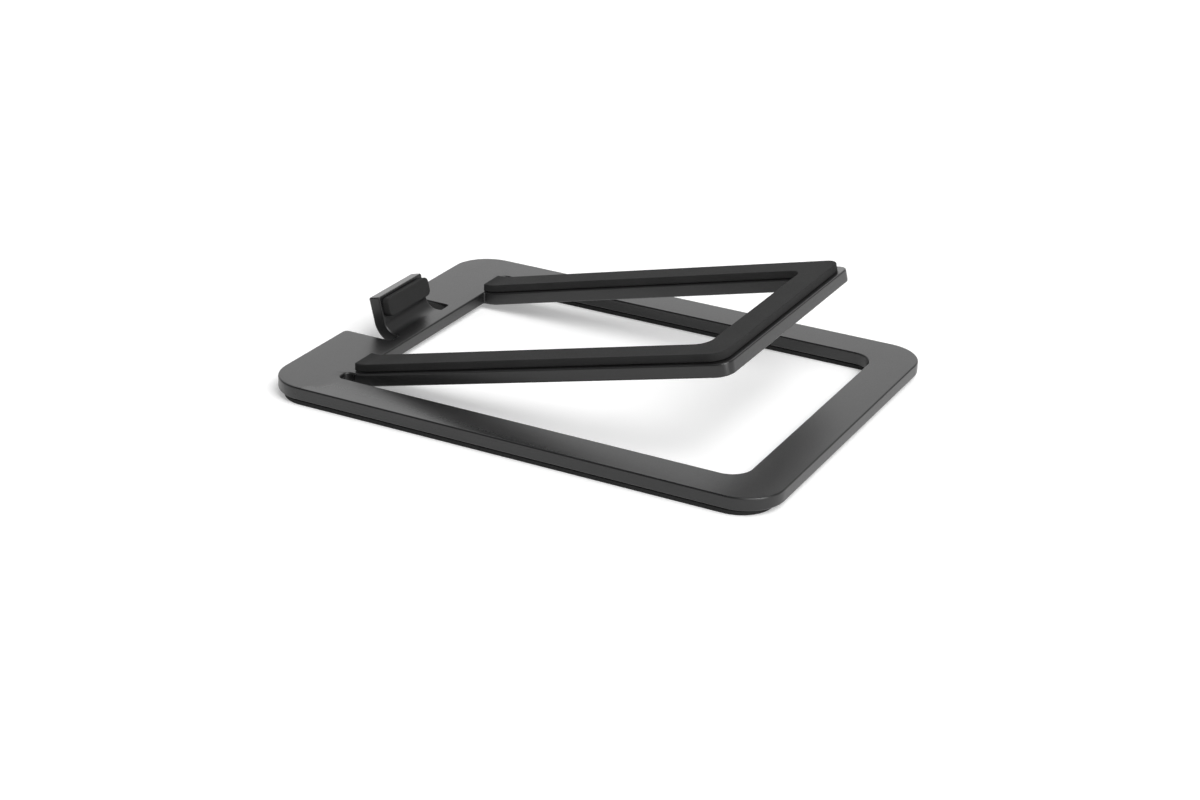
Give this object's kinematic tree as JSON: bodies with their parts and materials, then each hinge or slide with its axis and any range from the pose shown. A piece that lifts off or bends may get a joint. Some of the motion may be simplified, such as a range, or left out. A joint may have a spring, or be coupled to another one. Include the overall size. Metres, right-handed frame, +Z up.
{
  "type": "tablet stand",
  "caption": "Low desk stand for a tablet: folded steel base plate with a tilted open frame, a short front lip and rubber pads.",
  "frame": {"origin": "middle of the footprint, on the desk under the rubber foot strips", "axes": "+Z up from the desk; +Y from the front bar and lip towards the raised end of the frame, away from the user; +X to the user's right"},
  "size_m": [0.15, 0.196, 0.0452],
  "materials": {
    "graphite_powder_coat": "fine textured matte powder coat, dark graphite, over 4.75 mm steel",
    "black_rubber": "smooth matte black rubber",
    "acrylic_adhesive": "dark pressure-sensitive adhesive film"
  },
  "bodies": {
    "root": {"steel_plate": "graphite_powder_coat", "frame_pad": "black_rubber", "frame_pad_adhesive": "acrylic_adhesive", "lip_pad": "black_rubber", "lip_pad_adhesive": "acrylic_adhesive", "left_foot_strip": "black_rubber", "left_foot_strip_adhesive": "acrylic_adhesive", "right_foot_strip": "black_rubber", "right_foot_strip_adhesive": "acrylic_adhesive"}
  },
  "joints": []
}
